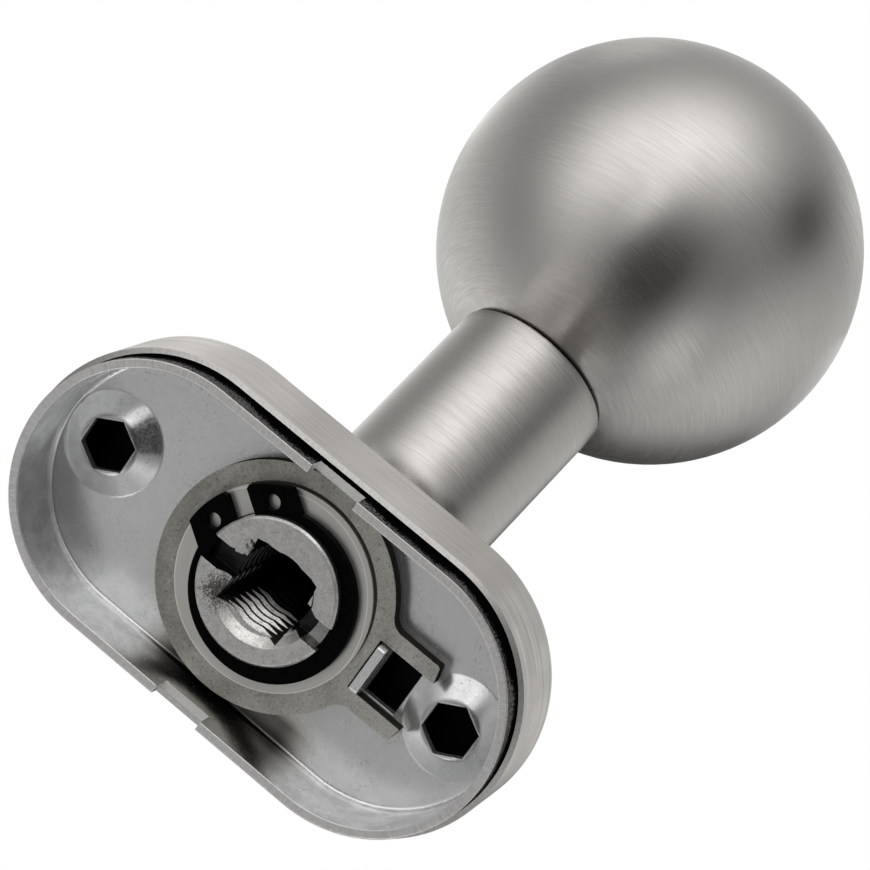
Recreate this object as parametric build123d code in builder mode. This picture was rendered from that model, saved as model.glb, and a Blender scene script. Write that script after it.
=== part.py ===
# Fixed door knob on an oblong rose, seen in the photograph from its door side.
# Millimetres. The origin lies on the door plane, on the axis of the threaded spigot.
# The door is toward +Y and the ball toward -Y, leaning to -X. The forked end of the rose is -Z.
import os
from math import atan, cos, degrees, radians, sin, sqrt, tan

from build123d import *

os.makedirs("parts", exist_ok=True)

# Ball and neck
ball_diameter = 50.0
ball_depth = 71.0
ball_offset = 35.5
ball_seat_distance = 22.25
ball_seat_rounding = 4.0
neck_diameter = 20.0
neck_lean = 45.0
neck_bend_radius = 14.0
neck_edge_rounding = 0.2
shadow_gap = 0.45
shadow_gap_depth = 0.8

# Stud that joins the ball to the neck
stud_diameter = 8.0
stud_in_neck = 12.0
stud_in_ball = 13.0
stud_chamfer = 0.8
stud_bore_relief = 1.0

# Oblong sheet base plate
sheet = 1.0
plate_end_spacing = 29.8
plate_width = 30.9
plate_depth = 8.9
plate_bend_radius = 0.4
notch_width = 6.0
notch_depth = 2.4

# Screw dimples
screw_spacing = 47.0
dimple_diameter = 11.5
dimple_crown = 6.2
dimple_height = 1.45
dimple_crown_rounding = 1.2
hex_across_flats = 5.5

# Lug pressed up out of the base plate, and the window that it leaves
lug_front = 12.65
lug_width = 6.0
lug_height = 3.4
lug_bend_radius = 0.9
lug_tip_radius = 0.5
lug_relief = 0.3
window_length = 4.95

# Pressed cover, drawn forward by its lift from its seat on the base plate
cover_sheet = 0.6
cover_side_gap = 0.3
cover_end_gap = 0.05
cover_lift = 3.0
cover_edge_radius = 0.6
cover_inner_radius = 0.2

# Threaded spigot
spigot_diameter = 16.0
spigot_end_depth = 3.3
spigot_length = 23.7
spigot_chamfer = 0.25
slot_width = 2.9
slot_depth = 2.4
square_across_flats = 8.0
square_depth = 13.0
tap_drill_diameter = 8.5
tap_depth = 22.0
countersink_margin = 0.3
countersink_depth = 1.0

# Retaining ring, lying against the washer
ring_thickness = 1.0
ring_groove_depth = 0.4
ring_groove_play = 0.05
ring_band = 1.73
ring_shift = 0.6
ring_gap_angle = 35.0
ring_gap = 2.4
ring_lugs_span = 12.3
ring_lug_reach = 3.2
ring_lug_corner = 0.4
ring_hole_diameter = 1.7
ring_hole_reach = 1.3
ring_hole_angle = 22.4

# Washer, forked stop plate and flanged bush
washer_thickness = 0.35
washer_band = 3.15
stop_thickness = 1.5
stop_diameter = 27.0
stop_arm_reach = 19.6
stop_prong_width = 1.85
stop_arm_fillet = 2.0
stop_prong_fillet = 0.3
bush_wall = 0.65
bush_flange_thickness = 0.75
bush_flange_band = 2.8

# Clearances on the radius
press_clearance = 0.02
running_clearance = 0.05
loose_clearance = 0.1
cover_clearance = 0.15
lug_front_clearance = 0.35
lug_side_clearance = 0.2

# Derived radii and widths
ball_radius = ball_diameter / 2
neck_radius = neck_diameter / 2
stud_radius = stud_diameter / 2
stud_bore = stud_diameter + 2 * press_clearance
spigot_radius = spigot_diameter / 2
groove_radius = spigot_radius - ring_groove_depth
ring_inner_radius = groove_radius + press_clearance
washer_bore_radius = spigot_radius + loose_clearance
bush_bore_radius = spigot_radius + running_clearance
bush_sleeve_radius = bush_bore_radius + bush_wall
plate_hole_radius = bush_sleeve_radius + running_clearance
ring_lug_radius = spigot_radius + ring_lug_reach
ring_hole_radius = spigot_radius + ring_hole_reach
slot_root = lug_front - lug_front_clearance
stop_slot_width = lug_width + 2 * lug_side_clearance
stop_arm_width = stop_slot_width + 2 * stop_prong_width
cover_inner_width = plate_width + 2 * cover_side_gap
cover_width = cover_inner_width + 2 * cover_sheet
cover_end_spacing = plate_end_spacing + plate_width + 2 * cover_end_gap - cover_inner_width
countersink_radius = square_across_flats / sqrt(2) + countersink_margin

# Derived depths, measured from the door plane toward the ball
floor_depth = plate_depth - sheet
lug_top_depth = floor_depth - lug_height
cover_inner_depth = plate_depth + cover_lift
cover_front_depth = cover_inner_depth + cover_sheet
stop_far_depth = floor_depth - bush_flange_thickness
stop_near_depth = stop_far_depth - stop_thickness
washer_near_depth = stop_near_depth - washer_thickness
ring_near_depth = washer_near_depth - ring_thickness
groove_near_depth = ring_near_depth - ring_groove_play
spigot_far_depth = spigot_end_depth + spigot_length
crossing_depth = ball_depth - ball_offset / tan(radians(neck_lean))
bend_start_depth = crossing_depth - neck_bend_radius * tan(radians(neck_lean / 2))

# Derived distances along the leaning leg, measured back from the ball's centre
crossing_distance = ball_offset / sin(radians(neck_lean))
bend_end_distance = crossing_distance - neck_bend_radius * tan(radians(neck_lean / 2))
neck_end_distance = ball_seat_distance + shadow_gap


def at_depth(depth, turn=0):
    """A plane parallel to the door, z toward the ball, x up the rose and turned toward the ball's side."""
    turned_up = (-sin(radians(turn)), 0, cos(radians(turn)))
    return Plane(origin=(0, -depth, 0), x_dir=turned_up, z_dir=(0, -1, 0))


def before_ball(distance):
    """A plane across the leaning leg, this far short of the ball's centre."""
    lean = radians(neck_lean)
    centre = (distance * sin(lean) - ball_offset, distance * cos(lean) - ball_depth, 0)
    return Plane(origin=centre, x_dir=(0, 0, 1), z_dir=(-sin(lean), -cos(lean), 0))


# Ball: turned, with a small flat seat whose rim is blended into the sphere
ball_axis = Axis(before_ball(0).origin, before_ball(0).z_dir)
with BuildPart() as knob_ball:
    with BuildSketch(Plane(ball_axis.position, x_dir=ball_axis.direction, z_dir=(0, 0, 1))) as half:
        Circle(ball_radius)
        with Locations((-ball_seat_distance, 0)):
            Rectangle(ball_radius, ball_diameter, align=(Align.MAX, Align.CENTER), mode=Mode.SUBTRACT)
        fillet(half.vertices().group_by(Axis.X)[0], radius=ball_seat_rounding)
        Rectangle(ball_diameter, ball_radius, align=(Align.CENTER, Align.MAX), mode=Mode.SUBTRACT)
        with Locations((-ball_seat_distance, 0)):
            Rectangle(stud_in_ball, stud_bore, align=(Align.MIN, Align.CENTER), mode=Mode.SUBTRACT)
    revolve(axis=ball_axis)
knob_ball.part.label = "knob_ball"

# Neck: straight stub, elbow and leaning leg, turned down for the shadow gap
with BuildPart() as knob_neck:
    with BuildSketch(at_depth(plate_depth)):
        Circle(neck_radius)
    extrude(amount=bend_start_depth - plate_depth)
    with BuildSketch(at_depth(bend_start_depth)):
        Circle(neck_radius)
    bend_axis = Axis((-neck_bend_radius, -bend_start_depth, 0), (0, 0, -1))
    revolve(axis=bend_axis, revolution_arc=neck_lean)
    with BuildSketch(before_ball(bend_end_distance)):
        Circle(neck_radius)
    extrude(amount=bend_end_distance - neck_end_distance)
    end_face = knob_neck.faces().sort_by(Axis((0, 0, 0), before_ball(0).z_dir))[-1]
    fillet(end_face.edges(), radius=neck_edge_rounding)
    with BuildSketch(before_ball(neck_end_distance)):
        Circle(neck_radius - shadow_gap_depth)
    extrude(amount=shadow_gap)
    with BuildSketch(at_depth(plate_depth)):
        Circle(spigot_radius + press_clearance)
    extrude(amount=spigot_far_depth - plate_depth, mode=Mode.SUBTRACT)
    with BuildSketch(before_ball(ball_seat_distance)):
        Circle(stud_bore / 2)
    extrude(amount=-stud_in_neck, mode=Mode.SUBTRACT)
knob_neck.part.label = "knob_neck"

# Stud: bottoms in the neck and stops short of the end of the ball's bore
with BuildPart() as joining_stud:
    with BuildSketch(before_ball(ball_seat_distance + stud_in_neck)):
        Circle(stud_radius)
    extrude(amount=stud_in_neck + stud_in_ball - stud_bore_relief)
    stud_ends = joining_stud.edges().filter_by(GeomType.CIRCLE)
    chamfer(stud_ends, length=stud_chamfer)
joining_stud.part.label = "joining_stud"

# Base plate: oblong pressed pan, open toward the door
with BuildPart() as base_plate:
    with BuildSketch(at_depth(0)):
        SlotCenterToCenter(plate_end_spacing, plate_width)
    extrude(amount=plate_depth)
    outer_bend = base_plate.faces().sort_by(Axis.Y)[0].edges()
    fillet(outer_bend, radius=plate_bend_radius + sheet)
    with BuildSketch(at_depth(0)):
        SlotCenterToCenter(plate_end_spacing, plate_width - 2 * sheet)
    extrude(amount=floor_depth, mode=Mode.SUBTRACT)
    pan_floor = base_plate.faces().filter_by(Axis.Y).group_by(Axis.Y)[1]
    fillet(pan_floor.edges(), radius=plate_bend_radius)
    # Notches at the middle of both long sides
    with BuildSketch(at_depth(0)):
        Rectangle(notch_width, plate_width + sheet)
    extrude(amount=notch_depth, mode=Mode.SUBTRACT)
    # Hollow conical dimples with a hexagonal hole in each
    dimple_slope = atan(2 * dimple_height / (dimple_diameter - dimple_crown))
    inner_shift = sheet * tan(dimple_slope / 2)
    dimple_taper = 90 - degrees(dimple_slope)
    with BuildSketch(at_depth(floor_depth)):
        with GridLocations(screw_spacing, 0, 2, 1):
            Circle(dimple_diameter / 2)
    extrude(amount=-dimple_height, taper=dimple_taper)
    with BuildSketch(at_depth(plate_depth)):
        with GridLocations(screw_spacing, 0, 2, 1):
            Circle(dimple_diameter / 2 - inner_shift)
    extrude(amount=-dimple_height, taper=dimple_taper, mode=Mode.SUBTRACT)
    cone_edges = base_plate.faces().filter_by(GeomType.CONE).edges()
    crown_edges = cone_edges.filter_by(GeomType.CIRCLE).group_by(Axis.Y)[-1]
    fillet(crown_edges, radius=dimple_crown_rounding)
    with BuildSketch(at_depth(0)):
        with GridLocations(screw_spacing, 0, 2, 1):
            RegularPolygon(hex_across_flats / 2, 6, major_radius=False, rotation=30)
    extrude(amount=plate_depth, mode=Mode.SUBTRACT)
    # Window with the lug standing at its inner edge
    with BuildSketch(at_depth(floor_depth)):
        with Locations((-lug_front, 0)):
            Rectangle(window_length, lug_width + 2 * lug_relief, align=(Align.MAX, Align.CENTER))
    extrude(amount=sheet, mode=Mode.SUBTRACT)
    with BuildSketch(at_depth(lug_top_depth)):
        with Locations((-lug_front, 0)):
            Rectangle(sheet, lug_width, align=(Align.MAX, Align.CENTER))
    extrude(amount=plate_depth - lug_top_depth)
    lug_edges = base_plate.edges(Select.LAST)
    lug_tip = lug_edges.filter_by(Axis.Z).group_by(Axis.Y)[-1]
    lug_bend = lug_edges.filter_by(Axis.X).group_by(Axis.Y)[0].sort_by(Axis.Z)[0]
    fillet(lug_tip, radius=lug_tip_radius)
    fillet(lug_bend, radius=lug_bend_radius)
    # Hole for the bush
    with BuildSketch(at_depth(floor_depth)):
        Circle(plate_hole_radius)
    extrude(amount=sheet, mode=Mode.SUBTRACT)
base_plate.part.label = "base_plate"

# Cover: drawn shell that slides on the neck over the base plate
with BuildPart() as cover_rose:
    with BuildSketch(at_depth(cover_lift)):
        SlotCenterToCenter(cover_end_spacing, cover_width)
    extrude(amount=cover_front_depth - cover_lift)
    front_edge = cover_rose.faces().sort_by(Axis.Y)[0].edges()
    fillet(front_edge, radius=cover_edge_radius)
    with BuildSketch(at_depth(cover_lift)):
        SlotCenterToCenter(cover_end_spacing, cover_inner_width)
    extrude(amount=cover_inner_depth - cover_lift, mode=Mode.SUBTRACT)
    cover_floor = cover_rose.faces().filter_by(Axis.Y).group_by(Axis.Y)[1]
    fillet(cover_floor.edges(), radius=cover_inner_radius)
    with BuildSketch(at_depth(cover_front_depth)):
        Circle(neck_radius + cover_clearance)
    extrude(amount=-cover_sheet, mode=Mode.SUBTRACT)
cover_rose.part.label = "cover_rose"

# Spigot: slotted end, ring groove, square broach and tapped bore
with BuildPart() as spindle_spigot:
    with BuildSketch(at_depth(spigot_end_depth)):
        Circle(spigot_radius)
    extrude(amount=spigot_length)
    chamfer(spindle_spigot.edges().filter_by(GeomType.CIRCLE), length=spigot_chamfer)
    with BuildSketch(at_depth(groove_near_depth)):
        Circle(spigot_diameter)
        Circle(groove_radius, mode=Mode.SUBTRACT)
    extrude(amount=washer_near_depth - groove_near_depth, mode=Mode.SUBTRACT)
    with BuildSketch(at_depth(spigot_end_depth)):
        Rectangle(2 * spigot_diameter, slot_width)
    extrude(amount=slot_depth, mode=Mode.SUBTRACT)
    with BuildSketch(at_depth(spigot_end_depth)):
        Rectangle(square_across_flats, square_across_flats)
    extrude(amount=square_depth, mode=Mode.SUBTRACT)
    with BuildSketch(at_depth(spigot_end_depth)):
        Circle(tap_drill_diameter / 2)
    extrude(amount=tap_depth, mode=Mode.SUBTRACT)
    with BuildSketch(at_depth(spigot_end_depth)):
        Circle(countersink_radius)
    extrude(amount=countersink_depth, taper=45, mode=Mode.SUBTRACT)
spindle_spigot.part.label = "spindle_spigot"

# Retaining ring: widest opposite its gap, with two holed lugs beside the gap
ring_plane = at_depth(ring_near_depth, ring_gap_angle)
with BuildPart() as retaining_ring:
    with BuildSketch(ring_plane):
        Circle(ring_lug_radius)
        Rectangle(ring_lug_radius, ring_lugs_span, align=(Align.MIN, Align.CENTER), mode=Mode.INTERSECT)
        with Locations((-ring_shift, 0)):
            Circle(ring_inner_radius + ring_band)
        Circle(ring_inner_radius, mode=Mode.SUBTRACT)
        Rectangle(2 * ring_lug_radius, ring_gap, align=(Align.MIN, Align.CENTER), mode=Mode.SUBTRACT)
        with PolarLocations(ring_hole_radius, 2, -ring_hole_angle, 4 * ring_hole_angle):
            Circle(ring_hole_diameter / 2, mode=Mode.SUBTRACT)
    extrude(amount=ring_thickness)
    lug_corners = retaining_ring.edges().filter_by(Axis.Y)
    lug_corners = lug_corners.sort_by(Axis(ring_plane.origin, ring_plane.x_dir))[-2:]
    chamfer(lug_corners, length=ring_lug_corner)
retaining_ring.part.label = "retaining_ring"

# Washer between the ring and the stop plate
with BuildPart() as shim_washer:
    with BuildSketch(at_depth(washer_near_depth)):
        Circle(spigot_radius + washer_band)
        Circle(washer_bore_radius, mode=Mode.SUBTRACT)
    extrude(amount=washer_thickness)
shim_washer.part.label = "shim_washer"

# Stop plate: disc with a forked arm that straddles the lug
with BuildPart() as stop_plate:
    with BuildSketch(at_depth(stop_near_depth)):
        Circle(stop_arm_reach)
        Rectangle(stop_arm_reach, stop_arm_width, align=(Align.MAX, Align.CENTER), mode=Mode.INTERSECT)
        Circle(stop_diameter / 2)
        with Locations((-slot_root, 0)):
            Rectangle(stop_arm_reach, stop_slot_width, align=(Align.MAX, Align.CENTER), mode=Mode.SUBTRACT)
        Circle(washer_bore_radius, mode=Mode.SUBTRACT)
    extrude(amount=stop_thickness)
    arm_sides = stop_plate.edges().filter_by(Axis.Y).group_by(Axis.X)
    arm_roots = (arm_sides[0] + arm_sides[-1]).sort_by(Axis.Z)[2:]
    fillet(arm_roots, radius=stop_arm_fillet)
    prong_tips = stop_plate.edges().filter_by(Axis.Y).group_by(Axis.Z)[1]
    fillet(prong_tips, radius=stop_prong_fillet)
stop_plate.part.label = "stop_plate"

# Bush: flange under the stop plate, sleeve through the base plate
with BuildPart() as guide_bush:
    with BuildSketch(at_depth(stop_far_depth)):
        Circle(bush_sleeve_radius + bush_flange_band)
    extrude(amount=bush_flange_thickness)
    with BuildSketch(at_depth(floor_depth)):
        Circle(bush_sleeve_radius)
    extrude(amount=sheet)
    with BuildSketch(at_depth(stop_far_depth)):
        Circle(bush_bore_radius)
    extrude(amount=bush_flange_thickness + sheet, mode=Mode.SUBTRACT)
guide_bush.part.label = "guide_bush"

export_step(knob_ball.part, "parts/knob_ball.step")
export_step(knob_neck.part, "parts/knob_neck.step")
export_step(joining_stud.part, "parts/joining_stud.step")
export_step(base_plate.part, "parts/base_plate.step")
export_step(cover_rose.part, "parts/cover_rose.step")
export_step(spindle_spigot.part, "parts/spindle_spigot.step")
export_step(retaining_ring.part, "parts/retaining_ring.step")
export_step(shim_washer.part, "parts/shim_washer.step")
export_step(stop_plate.part, "parts/stop_plate.step")
export_step(guide_bush.part, "parts/guide_bush.step")
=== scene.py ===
"""Looks, light and camera of the fixed door knob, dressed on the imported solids. Lengths are in metres."""

from math import cos, log, pi, radians, sin

import bmesh
import bpy
from mathutils import Matrix, Quaternion, Vector, noise


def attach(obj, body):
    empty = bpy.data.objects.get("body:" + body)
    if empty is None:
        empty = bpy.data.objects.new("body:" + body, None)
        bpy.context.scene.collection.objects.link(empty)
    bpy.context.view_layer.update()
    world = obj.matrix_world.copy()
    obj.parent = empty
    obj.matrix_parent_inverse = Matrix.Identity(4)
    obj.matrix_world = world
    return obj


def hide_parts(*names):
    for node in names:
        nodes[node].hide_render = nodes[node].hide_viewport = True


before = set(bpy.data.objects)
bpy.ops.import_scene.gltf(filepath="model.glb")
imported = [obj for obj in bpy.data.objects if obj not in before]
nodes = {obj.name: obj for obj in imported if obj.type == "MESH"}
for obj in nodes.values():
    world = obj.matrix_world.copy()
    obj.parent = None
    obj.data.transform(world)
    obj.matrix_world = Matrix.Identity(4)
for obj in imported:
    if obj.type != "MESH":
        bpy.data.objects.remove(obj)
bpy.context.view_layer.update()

MM = 0.001

# Places on the object, as in the part's source
neck_lean = radians(45)
joint_radius = 10 * MM
joint_distance = 22.7 * MM
bend_radius = 14 * MM
bend_start = 29.7 * MM
ball_centre = Vector((-35.5, -71.0, 0)) * MM
leg_direction = Vector((-sin(neck_lean), -cos(neck_lean), 0))

cover_half_line = 14.65 * MM
cover_radius = 16.35 * MM
cover_inner_depth = 11.9 * MM
plate_half_line = 14.9 * MM
plate_radius = 15.45 * MM
screw_distance = 23.5 * MM
window_far = 17.6 * MM
washer_radius = 11.15 * MM
spigot_end = 3.3 * MM
slot_width = 2.9 * MM
countersink_radius = 5.957 * MM

# The spigot's thread, and the lump beside its slot
thread_pitch = 1.5 * MM
thread_outer = 5.05 * MM
thread_inner = 3.96 * MM
thread_end = 24.0 * MM
ridge_foot_half = 0.72 * MM
ridge_crest_half = 0.09 * MM
thread_steps = 48
weld_distance = 1e-7
sharp_angle = radians(30)
burr_place = Vector((-2.35, -3.75, 4.75)) * MM
burr_size = Vector((1.0, 0.6, 0.8)) * MM

# Where the dirt lies, where a dark reflection and a shadow are painted, and where the light catches, seen
# from the spigot's axis
grimy_corner = Vector((3.3, 0, 4.3)) * MM
dark_reflection_direction = Vector((-0.75, 0, -0.66))
washer_shadow_side = Vector((-0.95, 0, -0.31))
washer_burr_facing = Vector((-0.44, 1.0, -0.05)).normalized()

# Colours that more than one surface has
# Painted shade for the shadow gap between neck and ball
joint_shade_dark = (0.02, 0.019, 0.018)
# Painted shade, black, on the stop plate's sides and beside the washer
shade_black = (0.01, 0.01, 0.009)
# Bright metal at the sheet's edges and notch rims: partly wear, partly painted highlight
wear_and_highlight_bright = (0.97, 0.97, 0.96)
# Grey of the painted dark reflection in the upper recess and of the painted shade on the pan's outer side
dark_reflection_and_shade_grey = (0.30, 0.30, 0.295)

# The cosine between the rounded normal and the surface's own, where an edge begins and where it is full
edge_begins = 0.98
edge_full = 0.75

# Camera, matched to the photograph
camera_place = Vector((-0.1431203, 0.3281685, -0.0677966))
camera_target = Vector((-0.0155536, -0.030, 0.0002341))
camera_roll = radians(-50.7478)
camera_lens = 147.403
sensor_width = 36.0
nearest_seen = 0.01

# Stage
floor_height = -0.12
floor_reach = 3.0
floor_corners = 96

# The tent's own level, and the level that no dark panel goes under
tent_level = 0.27
darkest_level = 0.008

# Azimuth, elevation, half width in degrees, and brightness over or under the tent's own level
panels = {
    "door side, high": (122, 35, 29, 2.10),
    "door side, level": (125, 7, 8, 0.90),
    "ball side": (170, 7, 25, 1.17),
    "dark above the door side": (96, 25, 35, -2.47),
    "above the door side": (82, 21, 27, 1.69),
    "far side, high": (-15, 25, 36, 0.82),
    "dark on the far side, toward the room": (-47, -3, 19, -2.49),
    "door side, low": (58, -46, 11, 0.61),
    "dark on the ball side, low": (-156, -41, 13, -0.38),
    "underneath": (-21, -72, 33, 0.42),
    "room side, low": (-104, -16, 8, 0.50),
    "room side, high": (-114, 37, 8, 0.54),
    "small and bright by the door": (46, -6, 8, 2.36),
    "dark on the far side": (-12, -1, 10, -1.77),
    "room side, level": (-69, 4, 29, 0.98),
    "dark on the door side, low": (123, -57, 10, -0.14),
}


def grey(level):
    return (level, level, level)


def scaled(colour, factor):
    return tuple(part * factor for part in colour)


class Shade:
    """One procedural material, with short names for its nodes. Its places are in millimetres."""

    def __init__(self, name, roughness=0.3, anisotropic=0.0, metallic=1.0):
        self.material = bpy.data.materials.new(name)
        self.material.use_nodes = True
        self.tree = self.material.node_tree
        self.tree.nodes.clear()
        output = self.tree.nodes.new("ShaderNodeOutputMaterial")
        self.bsdf = self.tree.nodes.new("ShaderNodeBsdfPrincipled")
        self.tree.links.new(self.bsdf.outputs[0], output.inputs[0])
        self.bsdf.inputs["Metallic"].default_value = metallic
        self.bsdf.inputs["Roughness"].default_value = roughness
        self.bsdf.inputs["Anisotropic"].default_value = anisotropic
        place = self.tree.nodes.new("ShaderNodeTexCoord").outputs["Object"]
        self.place = self.stretch(place, 1 / MM)
        self.normal = self.tree.nodes.new("ShaderNodeNewGeometry").outputs["Normal"]
        self.colour = None

    def put(self, socket, value):
        if isinstance(value, bpy.types.NodeSocket):
            self.tree.links.new(value, socket)
        elif socket.type == "RGBA" and len(value) == 3:
            socket.default_value = (*value, 1.0)
        else:
            socket.default_value = value

    def set(self, name, value):
        self.put(self.bsdf.inputs[name], value)

    def math(self, operation, *values):
        node = self.tree.nodes.new("ShaderNodeMath")
        node.operation = operation
        for socket, value in zip(node.inputs, values):
            self.put(socket, value)
        return node.outputs[0]

    def plus(self, first, other):
        return self.math("ADD", first, other)

    def minus(self, first, other):
        return self.math("SUBTRACT", first, other)

    def times(self, first, *others):
        for other in others:
            first = self.math("MULTIPLY", first, other)
        return first

    def weigh(self, first, other, share):
        """The first value by its share and the other by the rest."""
        return self.plus(self.times(first, share), self.times(other, 1 - share))

    def rest(self, share):
        return self.minus(1.0, share)

    def size(self, value):
        return self.math("ABSOLUTE", value)

    def larger(self, first, other):
        return self.math("MAXIMUM", first, other)

    def smaller(self, first, other):
        return self.math("MINIMUM", first, other)

    def below(self, value, limit):
        return self.math("LESS_THAN", value, limit)

    def above(self, value, limit):
        return self.math("GREATER_THAN", value, limit)

    def vector(self, operation, *values):
        node = self.tree.nodes.new("ShaderNodeVectorMath")
        node.operation = operation
        for socket, value in zip(node.inputs, values):
            self.put(socket, value)
        single = operation in ("DOT_PRODUCT", "LENGTH", "DISTANCE")
        return node.outputs["Value" if single else "Vector"]

    def stretch(self, vector, factor):
        stretched = self.vector("SCALE", vector)
        self.put(stretched.node.inputs["Scale"], factor)
        return stretched

    def moved(self, vector, other):
        return self.vector("ADD", vector, other)

    def less(self, vector, other):
        return self.vector("SUBTRACT", vector, other)

    def dot(self, vector, other):
        return self.vector("DOT_PRODUCT", vector, other)

    def length(self, vector):
        return self.vector("LENGTH", vector)

    def unit(self, vector):
        return self.vector("NORMALIZE", vector)

    def split(self, vector):
        node = self.tree.nodes.new("ShaderNodeSeparateXYZ")
        self.put(node.inputs[0], vector)
        return node.outputs[0], node.outputs[1], node.outputs[2]

    def join(self, x=0.0, y=0.0, z=0.0):
        node = self.tree.nodes.new("ShaderNodeCombineXYZ")
        for socket, value in zip(node.inputs, (x, y, z)):
            self.put(socket, value)
        return node.outputs[0]

    def noise(self, vector, scale=1.0, detail=3.0, roughness=0.55):
        node = self.tree.nodes.new("ShaderNodeTexNoise")
        self.put(node.inputs["Vector"], vector)
        self.put(node.inputs["Scale"], scale)
        self.put(node.inputs["Detail"], detail)
        self.put(node.inputs["Roughness"], roughness)
        return node.outputs[0]

    def remap(self, value, low, high, out_low=0.0, out_high=1.0, smooth=False):
        node = self.tree.nodes.new("ShaderNodeMapRange")
        node.interpolation_type = "SMOOTHSTEP" if smooth else "LINEAR"
        for socket, number in zip(node.inputs, (value, low, high, out_low, out_high)):
            self.put(socket, number)
        return node.outputs[0]

    def blend(self, share, first, second):
        node = self.tree.nodes.new("ShaderNodeMix")
        node.data_type = "RGBA"
        self.put(node.inputs["Factor"], share)
        self.put(node.inputs[6], first)
        self.put(node.inputs[7], second)
        return node.outputs[2]

    def paint(self, share, colour):
        """Lays a colour over the present one by its share."""
        self.colour = self.blend(share, self.colour, colour)

    def toward_door(self):
        return self.split(self.normal)[1]

    def rim(self, half_line, radius):
        """The direction out of an oblong, and the point that a place has on its outline."""
        x, y, z = self.split(self.place)
        straight = half_line / MM
        on_line = self.larger(self.smaller(z, straight), -straight)
        outward = self.unit(self.join(x, 0.0, self.minus(z, on_line)))
        outline = self.moved(self.stretch(outward, radius / MM), self.join(0.0, 0.0, on_line))
        return outward, outline

    def bevelled(self, radius):
        """The normal rounded over the edges."""
        node = self.tree.nodes.new("ShaderNodeBevel")
        node.samples = 6
        self.put(node.inputs["Radius"], radius)
        return node.outputs[0]

    def edge(self, radius):
        """How near a point is to an edge, and the normal rounded over it."""
        rounded = self.bevelled(radius)
        return self.remap(self.dot(rounded, self.normal), edge_begins, edge_full), rounded

    def bump(self, height, depth, normal=None):
        node = self.tree.nodes.new("ShaderNodeBump")
        self.put(node.inputs["Strength"], 1.0)
        self.put(node.inputs["Distance"], depth)
        self.put(node.inputs["Height"], height)
        if normal is not None:
            self.put(node.inputs["Normal"], normal)
        self.set("Normal", node.outputs[0])

    def brush(self, streaks, slow, colour, spread, rough, depth, normal):
        """The finish of the brushed surfaces, from fine streaks and slow cloudiness."""
        tone = self.weigh(streaks, slow, 0.7)
        light = self.remap(tone, 0.3, 0.7)
        self.colour = self.blend(light, scaled(colour, 1 - spread), scaled(colour, 1 + spread))
        smooth, dull = rough
        self.set("Roughness", self.remap(tone, 0.3, 0.7, dull, smooth))
        self.bump(streaks, depth, normal)


def ball_steel():
    """Fine rings about the neck's axis, and reflections that are stretched less toward top and bottom."""
    seat_outer, seat_inner = 15.0, 12.5
    mouth_inner, mouth_outer = 9.4, 9.8
    anisotropy = 0.97
    shade = Shade("stainless_ball", anisotropic=anisotropy)
    out = shade.less(shade.place, ball_centre / MM)
    along = shade.dot(out, leg_direction)
    axial = shade.stretch(leg_direction, along)
    off_axis = shade.less(out, axial)
    round_axis = shade.unit(off_axis)
    from_axis = shade.length(off_axis)

    ring_place = shade.moved(shade.stretch(axial, 7.0), shade.stretch(round_axis, 4.5))
    crossing = shade.stretch(leg_direction, shade.times(shade.split(round_axis)[2], 14.0))
    rings = shade.noise(ring_place, 1.0, 1.0, 0.5)
    crossed = shade.noise(shade.moved(ring_place, crossing), 1.2, 1.0, 0.5)
    streaks = shade.weigh(rings, crossed, 0.5)
    slow = shade.noise(shade.place, 0.12, 3.0)
    upright = shade.size(shade.split(shade.normal)[2])
    shade.set("Anisotropic", shade.remap(upright, 0.96, 0.995, anisotropy, 0.0, smooth=True))

    on_neck_side = shade.below(along, 0.0)
    by_seat = shade.times(shade.remap(from_axis, seat_outer, seat_inner, smooth=True), on_neck_side)
    by_seat = shade.times(by_seat, shade.remap(from_axis, mouth_inner, mouth_outer))
    turned = shade.unit(shade.blend(by_seat, shade.normal, shade.unit(out)))
    shade.brush(streaks, slow, (0.61, 0.598, 0.582), 0.08, (0.21, 0.29), 2.4e-6, turned)
    neck_wall = joint_radius / MM
    # Painted shade: the ball's seat inside the shadow gap by the neck is painted near black.
    in_joint = shade.remap(from_axis, neck_wall - 0.55, neck_wall - 0.75, smooth=True)
    shade.paint(shade.times(in_joint, on_neck_side), joint_shade_dark)
    shade.set("Base Color", shade.colour)
    return shade.material


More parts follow.
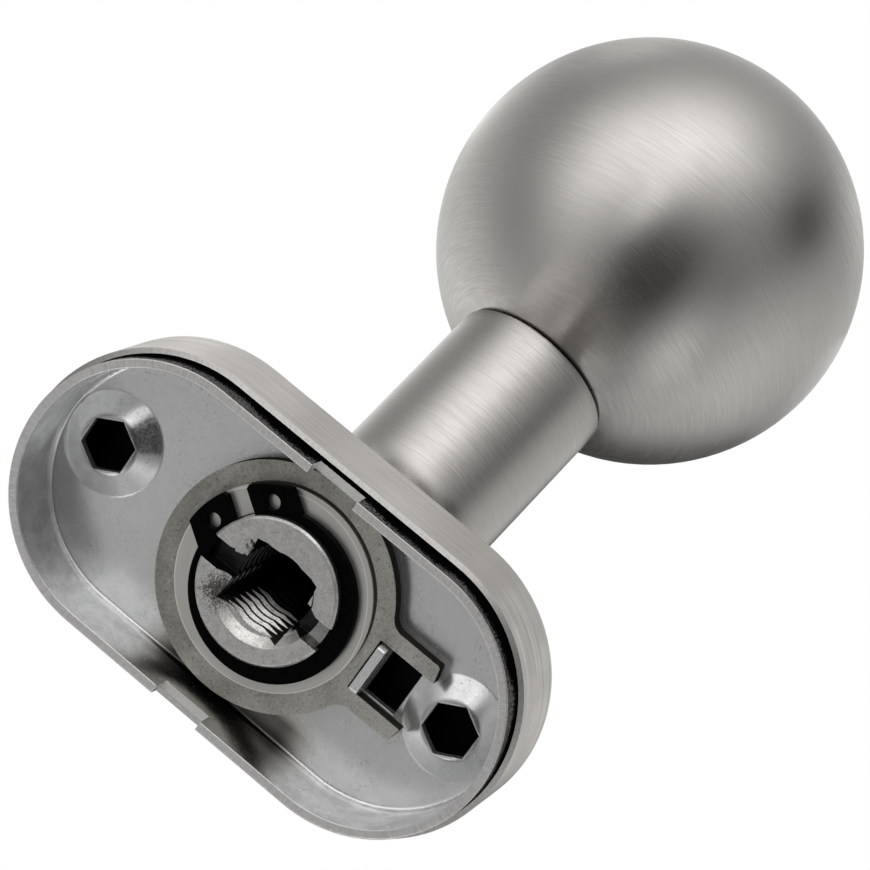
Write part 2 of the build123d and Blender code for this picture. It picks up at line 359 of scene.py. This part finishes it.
def neck_steel():
    """Brushed round the tube, through the stub, the elbow and the leg."""
    shade = Shade("stainless_neck", anisotropic=0.97)
    out = shade.less(shade.place, Vector((-bend_radius, -bend_start, 0)) / MM)
    x, y, _ = shade.split(out)
    angle = shade.math("ARCTAN2", shade.times(y, -1.0), x)
    angle = shade.smaller(shade.larger(angle, 0.0), neck_lean)
    turn_sin = shade.math("SINE", angle)
    turn_cos = shade.math("COSINE", angle)
    back_sin = shade.times(turn_sin, -1.0)
    back_cos = shade.times(turn_cos, -1.0)
    axis = shade.join(back_sin, back_cos, 0.0)
    past = shade.dot(out, axis)
    along = shade.plus(past, shade.times(angle, bend_radius / MM))
    to_line = shade.stretch(shade.join(turn_cos, back_sin, 0.0), bend_radius / MM)
    round_axis = shade.unit(shade.less(shade.less(out, shade.stretch(axis, past)), to_line))

    ring_place = shade.moved(shade.stretch(axis, shade.times(along, 5.0)), shade.stretch(round_axis, 2.5))
    streaks = shade.noise(ring_place, 1.0, 1.5, 0.6)
    slow = shade.noise(shade.place, 0.15, 3.0)
    shade.set("Tangent", axis)
    shade.brush(streaks, slow, (0.60, 0.588, 0.570), 0.06, (0.22, 0.30), 5e-6, shade.bevelled(0.25 * MM))
    from_ball = shade.dot(shade.less(shade.place, ball_centre / MM), leg_direction)
    # Painted shade: the neck's end inside the shadow gap by the ball is painted near black.
    neck_end = -joint_distance / MM
    shade.paint(shade.remap(from_ball, neck_end + 0.02, neck_end + 0.12), joint_shade_dark)
    shade.set("Base Color", shade.colour)
    return shade.material


def cover_steel():
    """Brushed along the rim on the sides and lengthwise on the front, with painted shade inside and a bright
    cut edge that is partly painted highlight.
    """
    shade = Shade("stainless_cover", anisotropic=0.9)
    x, y, z = shade.split(shade.place)
    outward, outline = shade.rim(cover_half_line, cover_radius)
    facing = shade.toward_door()
    wall_inside = shade.remap(shade.dot(shade.normal, outward), -0.3, -0.5)
    floor_inside = shade.below(shade.plus(y, cover_inner_depth / MM - 0.4), 0.0)
    floor_inside = shade.times(floor_inside, shade.above(facing, 0.5))
    on_cut = shade.times(shade.above(facing, 0.8), shade.rest(floor_inside))
    front = shade.remap(shade.size(facing), 0.6, 0.8)
    side = shade.rest(front)

    round_rim = shade.moved(shade.stretch(outline, 0.06), shade.join(0.0, shade.times(y, 2.8), 0.0))
    side_streaks = shade.noise(round_rim, 1.0, 5.0, 0.7)
    lengthwise = shade.join(shade.times(x, 6.0), y, shade.times(z, 0.25))
    front_streaks = shade.noise(lengthwise, 1.0, 5.0, 0.7)
    streaks = shade.plus(shade.times(front, front_streaks), shade.times(side, side_streaks))
    slow = shade.noise(shade.place, 0.12, 3.0)
    shade.set("Tangent", shade.blend(on_cut, shade.join(front, side, 0.0), outward))
    edge, rounded = shade.edge(0.15 * MM)
    rolled = shade.unit(shade.blend(shade.times(on_cut, 0.75), rounded, outward))
    shade.brush(streaks, slow, (0.80, 0.783, 0.755), 0.32, (0.28, 0.40), 8e-6, rolled)

    spots = shade.remap(shade.noise(shade.place, 2.6, 3.0, 0.7), 0.4, 0.6)
    shade.paint(on_cut, shade.blend(spots, (0.84, 0.83, 0.80), (0.98, 0.97, 0.95)))
    # The cut's edges are painted brighter still: partly bare metal, partly painted highlight.
    shade.paint(shade.times(edge, on_cut, 0.7), (0.95, 0.94, 0.92))
    # Painted shade: the cover's inside walls and floor are painted near black.
    shade.paint(shade.larger(wall_inside, floor_inside), grey(0.01))
    shade.set("Metallic", shade.remap(on_cut, 0.0, 1.0, 1.0, 0.7))
    shade.set("Base Color", shade.colour)
    return shade.material


class Sheet(Shade):
    """The pan's plated sheet. Each method lays one look over those before it."""

    def __init__(self):
        super().__init__("zinc_sheet")
        self.x, y, self.z = self.split(self.place)
        self.depth = self.times(y, -1.0)
        self.outward, self.outline = self.rim(plate_half_line, plate_radius)
        self.mottle = self.noise(self.place, 0.9, 5.0, 0.7)
        self.fringe = self.noise(self.place, 5.0, 3.0, 0.75)
        self.smudge = self.noise(self.place, 2.2, 4.0, 0.65)
        self.torn = self.weigh(self.noise(self.outline, 3.5, 3.0, 0.6), self.smudge, 0.5)
        grain = self.noise(self.place, 5.0, 3.0, 0.6)
        self.tone = self.weigh(self.mottle, grain, 0.55)
        facing = self.toward_door()
        self.on_wall = self.below(self.size(facing), 0.6)
        self.on_rim = self.times(self.below(self.depth, 2.6), self.above(facing, 0.8))
        self.on_notch = self.times(self.on_rim, self.above(self.depth, 1.0))

    def plating(self):
        self.colour = self.blend(self.remap(self.tone, 0.36, 0.64), (0.87, 0.885, 0.89), (0.97, 0.98, 0.985))
        flecks = self.remap(self.noise(self.place, 3.4, 4.0, 0.75), 0.56, 0.70)
        patches = self.remap(self.noise(self.place, 0.3, 2.0), 0.46, 0.62)
        self.paint(self.times(flecks, patches, 0.7), grey(0.2))
        down_wall = self.join(0.0, self.times(self.depth, 0.35), 0.0)
        clouds = self.noise(self.moved(self.stretch(self.outline, 0.5), down_wall), 1.0, 4.0, 0.65)
        self.paint(self.times(self.remap(clouds, 0.4, 0.6, 0.30, 0.0), self.on_wall), grey(0.3))

    def recesses(self):
        """A dark lip round each hexagon, and a painted dark reflection in the upper recess."""
        lip_outer, lip_inner = 3.5, 3.2
        recess_outer, recess_inner = 5.7, 5.5
        beside = self.join(self.x, 0.0, self.minus(self.size(self.z), screw_distance / MM))
        from_screw = self.length(beside)
        self.paint(self.remap(from_screw, lip_outer, lip_inner, 0.0, 0.45), grey(0.2))
        # Painted reflection: a dark mottled patch on one side of the upper hexagon's cone.
        patch = self.remap(self.dot(self.unit(beside), dark_reflection_direction), 0.90, 0.94)
        in_recess = self.remap(from_screw, recess_outer, recess_inner)
        in_upper = self.above(self.z, 0.0)
        speckled = self.remap(self.noise(self.place, 3.0, 3.0, 0.7), 0.38, 0.58, 0.35, 0.95)
        self.paint(self.times(patch, in_recess, in_upper, speckled), dark_reflection_and_shade_grey)

    def cut_rims(self):
        cut = self.blend(self.remap(self.torn, 0.38, 0.62), (0.74, 0.745, 0.745), (0.93, 0.93, 0.925))
        self.paint(self.on_rim, cut)
        # The notch rims are painted near white: partly bare metal, partly painted highlight.
        self.paint(self.times(self.on_notch, 0.85), wear_and_highlight_bright)

    def outside(self):
        """The outer side: speckled grey, partly the cut's own colour and partly painted shade, and painted
        black shade where it goes down behind the cover.
        """
        shallow, deep = 0.5, 2.1
        facing_out = self.above(self.dot(self.normal, self.outward), 0.7)
        on_outline = self.below(self.vector("DISTANCE", self.join(self.x, 0.0, self.z), self.outline), 0.4)
        self.facing_out = self.times(facing_out, on_outline)
        # Painted shade, partly the cut's own speckle: the outer side is painted dark speckled grey.
        self.paint(self.facing_out, self.blend(self.remap(self.fringe, 0.4, 0.6), grey(0.03), dark_reflection_and_shade_grey))
        reach = self.remap(self.noise(self.outline, 0.09, 1.0), 0.4, 0.6, shallow, deep)
        ragged = self.plus(reach, self.times(self.minus(self.fringe, 0.5), 5.0))
        past_reach = self.minus(self.depth, ragged)
        self.gap_shade = self.times(self.facing_out, self.remap(past_reach, -0.2, 0.2))

    def worn_and_highlit_edges(self):
        """Edges and the burr along the window's far end, painted bright: partly wear, partly painted
        highlight.
        """
        window_half_width = 3.3
        window_depth = 7.0
        edge, self.rounded_normal = self.edge(0.26 * MM)
        beside_window = self.size(self.plus(self.z, window_far / MM))
        burr = self.remap(self.plus(beside_window, self.times(self.smudge, 0.3)), 0.38, 0.22)
        across_window = self.below(self.size(self.x), window_half_width)
        within = self.times(across_window, self.above(self.depth, window_depth))
        edge = self.larger(edge, self.times(burr, within))
        self.worn_and_highlit = self.times(edge, self.remap(self.noise(self.place, 1.3, 3.0), 0.35, 0.6, 0.4, 1.0))
        # Painted bright: partly wear, partly painted highlight along the edges and the burr line.
        self.paint(self.worn_and_highlit, wear_and_highlight_bright)

    def notch_side(self):
        """The side about the notch at +X: a duller tint that is partly painted shade, and a painted shadow
        where it goes under the stop plate.
        """
        middle = 2.0
        far_end, near_end = 13.0, 7.0
        side_begins, side_full = 9.0, 12.0
        along_side = self.size(self.plus(self.z, middle))
        by_notch = self.remap(along_side, far_end, near_end, smooth=True)
        by_notch = self.times(by_notch, self.remap(self.x, side_begins, side_full))
        self.by_notch = self.times(by_notch, self.rest(self.on_rim))
        # A duller brownish tint about the notch, partly painted shade.
        self.paint(self.times(self.by_notch, 0.6), (0.62, 0.60, 0.56))
        # Painted shadow: near black where the side goes under the stop plate.
        shadow_under_plate = self.remap(self.depth, 4.5, 7.0, 0.0, 0.85, smooth=True)
        self.paint(self.times(self.by_notch, self.by_notch, shadow_under_plate), (0.04, 0.04, 0.038))

    def surface(self):
        """The metal, its polish, and the relief of dents, torn rims and mottle."""
        metal = self.remap(self.by_notch, 0.0, 1.0, 0.78, 1.0)
        metal = self.times(metal, self.remap(self.on_notch, 0.0, 1.0, 1.0, 0.6))
        metal = self.larger(metal, self.worn_and_highlit)
        self.set("Metallic", self.times(metal, self.rest(self.gap_shade)))
        self.set("Specular IOR Level", 0.0)
        # Painted shade: black where the outer side goes down behind the cover.
        self.paint(self.gap_shade, grey(0.002))
        self.set("Base Color", self.colour)
        polish = self.remap(self.tone, 0.36, 0.64, 0.28, 0.20)
        self.set("Roughness", self.larger(polish, self.times(self.facing_out, 0.9)))
        dents = self.noise(self.place, 0.16, 2.0)
        relief = self.plus(self.mottle, self.times(dents, 4.0))
        relief = self.plus(relief, self.times(self.on_rim, self.torn, 1.5))
        relief = self.plus(relief, self.times(self.on_notch, self.fringe, 30.0))
        self.bump(relief, 12e-6, self.rounded_normal)


def zinc_sheet():
    """Plated sheet: a faint mottle with dark flecks, soft dents, sheared rim, bright edges that are partly
    wear and partly painted highlight, and painted shade and reflection.
    """
    sheet = Sheet()
    sheet.plating()
    sheet.recesses()
    sheet.cut_rims()
    sheet.outside()
    sheet.worn_and_highlit_edges()
    sheet.notch_side()
    sheet.surface()
    return sheet.material


def stop_steel():
    """Dull scuffed disc with fine specks and scratches, a painted light gradient toward -Z, a burred edge
    that is partly painted highlight, painted shade on its sides, and a painted shadow beside the washer.
    """
    shade = Shade("stop_steel", roughness=0.5)
    x, y, z = shade.split(shade.place)
    grain = shade.noise(shade.place, 4.0, 5.0, 0.75)
    broad = shade.noise(shade.place, 0.22, 3.0)
    tone = shade.weigh(grain, broad, 0.5)
    # Painted light: the disc is painted lighter toward -Z, as the light falls on it.
    lit_tone = shade.plus(tone, shade.remap(z, 12.0, -16.0, -0.06, 0.08))
    shade.colour = shade.blend(shade.remap(lit_tone, 0.38, 0.66), (0.36, 0.35, 0.315), (0.64, 0.63, 0.595))
    specks = shade.remap(shade.noise(shade.place, 3.6, 3.0, 0.7), 0.58, 0.68)
    shade.paint(shade.times(specks, 0.65), (0.10, 0.095, 0.085))
    strokes = shade.noise(shade.join(shade.times(x, 0.5), y, shade.times(z, 6.0)), 1.0, 2.0)
    shade.paint(shade.times(shade.remap(strokes, 0.66, 0.74), 0.5), (0.8, 0.79, 0.76))
    edge, rounded = shade.edge(0.15 * MM)
    burrs = shade.remap(shade.noise(shade.place, 2.8, 3.0, 0.7), 0.4, 0.6)
    # The burred edge is painted dark and bright by a noise; the bright bits are partly painted highlight.
    shade.paint(edge, shade.blend(burrs, (0.15, 0.145, 0.13), (0.9, 0.89, 0.86)))

    # Painted shade: the disc's sides, and a line beside the washer on one side, are painted near black.
    on_side = shade.below(shade.size(shade.toward_door()), 0.5)
    shade.paint(shade.times(on_side, 0.95), shade_black)
    from_axis = shade.join(x, 0.0, z)
    past_washer = shade.minus(shade.length(from_axis), washer_radius / MM)
    toward = shade.dot(shade.unit(from_axis), washer_shadow_side)
    beside_washer = shade.below(past_washer, shade.remap(toward, 0.3, 0.8, 0.0, 0.32))
    shade.paint(shade.times(beside_washer, 0.9), shade_black)
    shade.set("Base Color", shade.colour)
    metal = shade.remap(shade.times(edge, burrs), 0.0, 1.0, 1.0, 0.4)
    shade.set("Metallic", shade.times(metal, shade.rest(shade.larger(on_side, beside_washer))))
    shade.set("Specular IOR Level", 0.0)
    shade.set("Roughness", shade.remap(tone, 0.38, 0.62, 0.52, 0.36))
    shade.bump(grain, 10e-6, rounded)
    return shade.material


def washer_steel():
    """Faint turned rings, and a bright burred line just inside the edge; the line and the edges are partly
    painted highlight.
    """
    line_half = 0.07
    line_near, line_far = 0.07, 0.62
    shade = Shade("washer_steel")
    x, _, z = shade.split(shade.place)
    from_axis = shade.join(x, 0.0, z)
    radius = shade.length(from_axis)
    ring_place = shade.join(shade.times(radius, 5.0), shade.times(x, 0.15), shade.times(z, 0.15))
    rings = shade.noise(ring_place, 1.0, 4.0, 0.6)
    edge, rounded = shade.edge(0.12 * MM)
    toward = shade.dot(shade.unit(from_axis), washer_shadow_side)
    inset = shade.remap(toward, 0.0, 0.8, line_near, line_far, smooth=True)
    from_line = shade.size(shade.minus(shade.plus(radius, inset), washer_radius / MM))
    on_burr = shade.below(from_line, line_half)
    bright = shade.larger(edge, on_burr)
    shade.colour = shade.blend(shade.remap(rings, 0.3, 0.7), (0.70, 0.686, 0.658), (0.78, 0.766, 0.738))
    # The edges and the burred line are painted near white: partly burr, partly painted highlight.
    shade.paint(bright, (0.97, 0.96, 0.94))
    shade.set("Base Color", shade.colour)
    shade.set("Metallic", shade.remap(bright, 0.0, 1.0, 0.85, 0.6))
    shade.set("Roughness", shade.remap(rings, 0.3, 0.7, 0.38, 0.28))
    shade.bump(rings, 5e-6, shade.blend(on_burr, rounded, washer_burr_facing))
    return shade.material


def black_spring_steel():
    """Blackened ring, a little lighter along its edges."""
    shade = Shade("black_spring_steel", metallic=0.0, roughness=0.5)
    grain = shade.noise(shade.place, 5.0, 4.0, 0.6)
    edge, rounded = shade.edge(0.1 * MM)
    shade.colour = shade.blend(shade.remap(grain, 0.4, 0.7), grey(0.001), grey(0.004))
    shade.paint(shade.times(edge, 0.1), (0.08, 0.078, 0.075))
    shade.set("Base Color", shade.colour)
    shade.set("Specular IOR Level", 0.03)
    shade.set("Roughness", shade.remap(grain, 0.3, 0.7, 0.55, 0.4))
    shade.bump(grain, 6e-6, rounded)
    return shade.material


def spigot_steel():
    """Plated face with fine specks and bright edges that are partly painted highlight; the bore and the slot
    carry painted shade but for the bore's lit flat, and the face is grimy at one corner.
    """
    bore_reach, face_reach = 5.9, 6.2
    shade = Shade("spigot_steel")
    x, y, z = shade.split(shade.place)
    depth = shade.times(y, -1.0)
    from_axis = shade.join(x, 0.0, z)
    radius = shade.length(from_axis)
    mottle = shade.noise(shade.place, 1.3, 6.0, 0.75)
    grain = shade.noise(shade.place, 6.0, 3.0, 0.6)
    tone = shade.weigh(mottle, grain, 0.6)
    shade.colour = shade.blend(shade.remap(tone, 0.35, 0.62), (0.50, 0.495, 0.485), (0.90, 0.89, 0.875))
    edge, rounded = shade.edge(0.15 * MM)
    pitted = shade.remap(shade.noise(shade.place, 3.0, 3.0, 0.7), 0.42, 0.58)
    # Bright machined edges, partly painted highlight, with dark pits.
    shade.paint(edge, shade.blend(pitted, (0.35, 0.345, 0.33), (0.95, 0.94, 0.93)))
    specks = shade.remap(shade.noise(shade.place, 3.4, 4.0, 0.75), 0.60, 0.68)
    shade.paint(shade.times(specks, 0.6), (0.12, 0.12, 0.115))
    from_corner = shade.vector("DISTANCE", from_axis, grimy_corner / MM)
    blotches = shade.noise(shade.place, 5.0, 3.0, 0.75)
    grime = shade.plus(shade.remap(from_corner, 0.5, 3.0, 0.16, -0.12), blotches)
    shade.paint(shade.remap(grime, 0.52, 0.62, 0.0, 0.85), (0.05, 0.05, 0.047))

    across_slot = shade.below(shade.size(x), slot_width / MM / 2 + 0.02)
    in_slot = shade.times(across_slot, shade.above(depth, spigot_end / MM + 0.05))
    # Painted shade: the slot's far wall is painted dark and mottled.
    far_wall_shade = shade.below(shade.split(shade.normal)[0], -0.5)
    far_wall_shade = shade.times(far_wall_shade, shade.remap(pitted, 0.0, 1.0, 0.95, 0.6))
    shade.paint(shade.times(in_slot, far_wall_shade), (0.06, 0.06, 0.055))
    near_side = shade.times(in_slot, shade.rest(far_wall_shade))
    shade.set("Metallic", shade.remap(near_side, 0.0, 1.0, 1.0, 0.1))

    below_cone = shade.minus(shade.plus(depth, radius), (spigot_end + countersink_radius) / MM)
    inside = shade.times(shade.below(radius, bore_reach), shade.remap(below_cone, 0.05, 0.12))
    # Painted shade: the bore is painted near black but for the flat that the light reaches, and so is the
    # slot's upper end.
    lit = shade.times(shade.remap(x, 1.8, 2.4), shade.remap(depth, 10.0, 14.0, 1.0, 0.0))
    dark = shade.times(inside, shade.rest(lit))
    dark = shade.larger(dark, shade.times(in_slot, shade.remap(z, 3.0, 3.6)))
    shade.paint(dark, grey(0.006))
    shade.set("Base Color", shade.colour)
    shade.set("Roughness", shade.remap(tone, 0.35, 0.65, 0.42, 0.26))
    face_like = shade.times(shade.below(radius, face_reach), shade.remap(x, 0.0, -1.5))
    face_like = shade.times(face_like, shade.below(below_cone, 0.05))
    shade.bump(mottle, 15e-6, shade.blend(face_like, rounded, (0.0, 1.0, 0.0)))
    return shade.material


def plain_steel():
    """For the two pieces that no side shows."""
    shade = Shade("plain_steel", roughness=0.4)
    grain = shade.noise(shade.place, 2.0, 5.0, 0.6)
    shade.set("Base Color", shade.blend(grain, (0.22, 0.218, 0.21), (0.34, 0.335, 0.325)))
    shade.set("Roughness", shade.remap(grain, 0.3, 0.7, 0.48, 0.32))
    shade.bump(grain, 6e-6)
    return shade.material


def dress(node_name, material):
    slots = nodes[node_name].data.materials
    if len(slots) == 0:
        slots.append(material)
    for index in range(len(slots)):
        slots[index] = material


def link(piece):
    bpy.context.scene.collection.objects.link(piece)
    return piece


def thread_cutter():
    """One long helical ridge whose section is that of a 60 degree thread's groove."""
    shape = bmesh.new()
    start = spigot_end - thread_pitch
    count = int((thread_end - start) / thread_pitch * thread_steps)
    section = (
        (thread_inner, -ridge_foot_half),
        (thread_outer, -ridge_crest_half),
        (thread_outer, ridge_crest_half),
        (thread_inner, ridge_foot_half),
    )
    rings = []
    for step in range(count + 1):
        angle = 2 * pi * step / thread_steps
        depth = start + thread_pitch * step / thread_steps
        ring = []
        for radius, along in section:
            ring.append(shape.verts.new((radius * cos(angle), -(depth + along), radius * sin(angle))))
        rings.append(ring)
    for one, other in zip(rings, rings[1:]):
        for index in range(len(section)):
            following = (index + 1) % len(section)
            shape.faces.new((one[index], one[following], other[following], other[index]))
    shape.faces.new(rings[0][::-1])
    shape.faces.new(rings[-1])
    bmesh.ops.recalc_face_normals(shape, faces=shape.faces)
    mesh = bpy.data.meshes.new("thread_cutter")
    shape.to_mesh(mesh)
    shape.free()
    return mesh


def spigot_blank():
    """The CAD spigot's mesh, welded and without its stored normals."""
    shape = bmesh.new()
    shape.from_mesh(nodes["spindle_spigot"].data)
    bmesh.ops.remove_doubles(shape, verts=shape.verts, dist=weld_distance)
    mesh = bpy.data.meshes.new("spigot_blank")
    shape.to_mesh(mesh)
    shape.free()
    if "custom_normal" in mesh.attributes:
        mesh.attributes.remove(mesh.attributes["custom_normal"])
    return mesh


def cut_thread():
    """The blank's mesh with the thread cut through the flats of its square."""
    blank = link(bpy.data.objects.new("spigot_blank", spigot_blank()))
    cutter = link(bpy.data.objects.new("thread_cutter", thread_cutter()))
    cut = blank.modifiers.new("cut", "BOOLEAN")
    cut.object = cutter
    cut.solver = "EXACT"
    bpy.context.view_layer.update()
    seen = blank.evaluated_get(bpy.context.evaluated_depsgraph_get())
    mesh = bpy.data.meshes.new_from_object(seen)
    for piece in (blank, cutter):
        bpy.data.objects.remove(piece)
    return mesh


def add_burr(mesh):
    """The lump of metal that the broach pushed up beside the slot."""
    shape = bmesh.new()
    shape.from_mesh(mesh)
    lump = bmesh.ops.create_icosphere(shape, subdivisions=4, radius=1.0)["verts"]
    for vertex in lump:
        rough = noise.noise(vertex.co * 2.2) * 0.35 + noise.noise(vertex.co * 5.0) * 0.12
        swollen = vertex.co * (1 + rough)
        vertex.co = burr_place + Vector(part * size for part, size in zip(swollen, burr_size))
    shape.to_mesh(mesh)
    shape.free()


def threaded_spigot(material):
    """The spigot with its thread and its lump, in the place of the CAD one."""
    mesh = cut_thread()
    add_burr(mesh)
    mesh.name = "threaded_spigot"
    mesh.materials.clear()
    mesh.materials.append(material)
    mesh.shade_smooth()
    mesh.set_sharp_from_angle(angle=sharp_angle)
    piece = link(bpy.data.objects.new("threaded_spigot", mesh))
    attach(piece, "root")
    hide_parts("spindle_spigot")


def toward(azimuth, elevation):
    """A unit vector by degrees round from +X and degrees up."""
    level = cos(radians(elevation))
    return Vector((level * cos(radians(azimuth)), level * sin(radians(azimuth)), sin(radians(elevation))))


def studio():
    """A soft tent: an even grey with broad bright panels and dark gaps, and plain white behind."""
    world = bpy.data.worlds.new("studio")
    bpy.context.scene.world = world
    world.use_nodes = True
    tree = world.node_tree
    tree.nodes.clear()

    def math(operation, first, second=0.0):
        node = tree.nodes.new("ShaderNodeMath")
        node.operation = operation
        for socket, value in zip(node.inputs, (first, second)):
            if isinstance(value, bpy.types.NodeSocket):
                tree.links.new(value, socket)
            else:
                socket.default_value = value
        return node.outputs[0]

    ray = tree.nodes.new("ShaderNodeTexCoord").outputs["Generated"]
    level = tent_level
    for azimuth, elevation, half_width, brightness in panels.values():
        dot = tree.nodes.new("ShaderNodeVectorMath")
        dot.operation = "DOT_PRODUCT"
        tree.links.new(ray, dot.inputs[0])
        dot.inputs[1].default_value = toward(azimuth, elevation)
        sharpness = log(2) / (1 - cos(radians(half_width)))
        falloff = math("MULTIPLY", math("SUBTRACT", dot.outputs["Value"], 1.0), sharpness)
        glow = math("MULTIPLY", math("EXPONENT", falloff), brightness)
        level = math("ADD", glow, level)
    level = math("MAXIMUM", level, darkest_level)
    soft = tree.nodes.new("ShaderNodeBackground")
    soft.inputs["Color"].default_value = (1.0, 0.99, 0.975, 1.0)
    tree.links.new(level, soft.inputs["Strength"])
    plain_white = tree.nodes.new("ShaderNodeBackground")
    plain_white.inputs["Color"].default_value = (1, 1, 1, 1)
    seen = tree.nodes.new("ShaderNodeLightPath").outputs["Is Camera Ray"]
    mix = tree.nodes.new("ShaderNodeMixShader")
    tree.links.new(seen, mix.inputs[0])
    tree.links.new(soft.outputs[0], mix.inputs[1])
    tree.links.new(plain_white.outputs[0], mix.inputs[2])
    output = tree.nodes.new("ShaderNodeOutputWorld")
    tree.links.new(mix.outputs[0], output.inputs[0])


def floor():
    """A round of paper that only the camera sees."""
    mesh = bpy.data.meshes.new("floor")
    shape = bmesh.new()
    bmesh.ops.create_circle(shape, cap_ends=True, segments=floor_corners, radius=floor_reach)
    shape.to_mesh(mesh)
    shape.free()
    piece = link(bpy.data.objects.new("floor", mesh))
    piece.location = (0, 0, floor_height)
    shade = Shade("floor_paper", metallic=0.0, roughness=0.9)
    shade.set("Base Color", grey(0.9))
    mesh.materials.append(shade.material)
    piece.visible_glossy = False
    piece.visible_diffuse = False
    piece.visible_shadow = False


def camera():
    lens = bpy.data.cameras.new("camera")
    lens.lens = camera_lens
    lens.sensor_width = sensor_width
    lens.clip_start = nearest_seen
    piece = link(bpy.data.objects.new("camera", lens))
    look = (camera_target - camera_place).to_track_quat("-Z", "Y")
    roll = Quaternion((0, 0, 1), camera_roll)
    piece.matrix_world = Matrix.Translation(camera_place) @ (look @ roll).to_matrix().to_4x4()
    bpy.context.scene.camera = piece


plain = plain_steel()
spigot_finish = spigot_steel()
dress("knob_ball", ball_steel())
dress("knob_neck", neck_steel())
dress("cover_rose", cover_steel())
dress("base_plate", zinc_sheet())
dress("stop_plate", stop_steel())
dress("shim_washer", washer_steel())
dress("retaining_ring", black_spring_steel())
dress("spindle_spigot", spigot_finish)
dress("joining_stud", plain)
dress("guide_bush", plain)
threaded_spigot(spigot_finish)

studio()
floor()
camera()
bpy.context.scene.view_settings.view_transform = "Standard"

bpy.context.view_layer.update()
